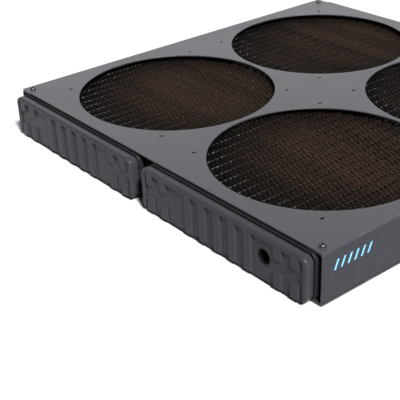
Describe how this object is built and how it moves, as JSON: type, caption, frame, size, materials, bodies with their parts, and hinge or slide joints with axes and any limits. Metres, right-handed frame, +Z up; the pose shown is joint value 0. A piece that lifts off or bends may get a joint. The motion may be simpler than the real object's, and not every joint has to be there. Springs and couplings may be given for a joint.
{
  "type": "liquid cooling radiator",
  "caption": "Large flat liquid cooling radiator: square plates with round fan openings over two finned tube cores, pressed end tanks, folded side panels and threaded ports.",
  "frame": {"origin": "centre of the underside, on the plane of the bottom plate", "axes": "+Z up through the fan openings; -Y to the end with the bleed port; +Y to the end with the inlet and outlet; +X to the side panel that carries the printed mark"},
  "size_m": [0.4246, 0.447, 0.0473],
  "materials": {
    "plate_paint": "satin charcoal powder coat, fine texture",
    "panel_paint": "satin charcoal powder coat, slightly darker and bluer",
    "tank_paint": "satin charcoal paint over pressed sheet",
    "header_paint": "the same paint, thinner at the folded rim",
    "fin_copper": "thin black paint on copper fins, copper tint showing",
    "tube_copper": "thin black paint on flat tubes, bright along the rounded edges",
    "port_brass": "turned brass, painted over on the face",
    "inner_brass": "plain sheet brass",
    "screw_steel": "blackened steel, worn at the socket"
  },
  "bodies": {
    "root": {"top_fan_plate": "plate_paint", "bottom_fan_plate": "plate_paint", "side_panel_left": "panel_paint", "fin_pack_left": "fin_copper", "tube_left_01": "tube_copper", "tube_left_02": "tube_copper", "tube_left_03": "tube_copper", "tube_left_04": "tube_copper", "tube_left_05": "tube_copper", "tube_left_06": "tube_copper", "tube_left_07": "tube_copper", "tube_left_08": "tube_copper", "tube_left_09": "tube_copper", "tube_left_10": "tube_copper", "tube_left_11": "tube_copper", "tube_left_12": "tube_copper", "tube_left_13": "tube_copper", "tube_left_14": "tube_copper", "tube_left_15": "tube_copper", "tube_left_16": "tube_copper", "tube_left_17": "tube_copper", "header_front_left": "header_paint", "tank_front_left": "tank_paint", "cover_screw_front_left": "screw_steel", "header_rear_left": "header_paint", "tank_rear_left": "tank_paint", "port_boss_rear_left": "port_brass", "cover_screw_rear_left": "screw_steel", "tank_baffle_left": "inner_brass", "side_panel_right": "panel_paint", "fin_pack_right": "fin_copper", "tube_right_01": "tube_copper", "tube_right_02": "tube_copper", "tube_right_03": "tube_copper", "tube_right_04": "tube_copper", "tube_right_05": "tube_copper", "tube_right_06": "tube_copper", "tube_right_07": "tube_copper", "tube_right_08": "tube_copper", "tube_right_09": "tube_copper", "tube_right_10": "tube_copper", "tube_right_11": "tube_copper", "tube_right_12": "tube_copper", "tube_right_13": "tube_copper", "tube_right_14": "tube_copper", "tube_right_15": "tube_copper", "tube_right_16": "tube_copper", "tube_right_17": "tube_copper", "header_front_right": "header_paint", "tank_front_right": "tank_paint", "port_boss_front_right": "port_brass", "cover_screw_front_right": "screw_steel", "header_rear_right": "header_paint", "tank_rear_right": "tank_paint", "port_boss_rear_right": "port_brass", "cover_screw_rear_right": "screw_steel", "tank_baffle_right": "inner_brass", "crossover_duct": "inner_brass"}
  },
  "joints": []
}
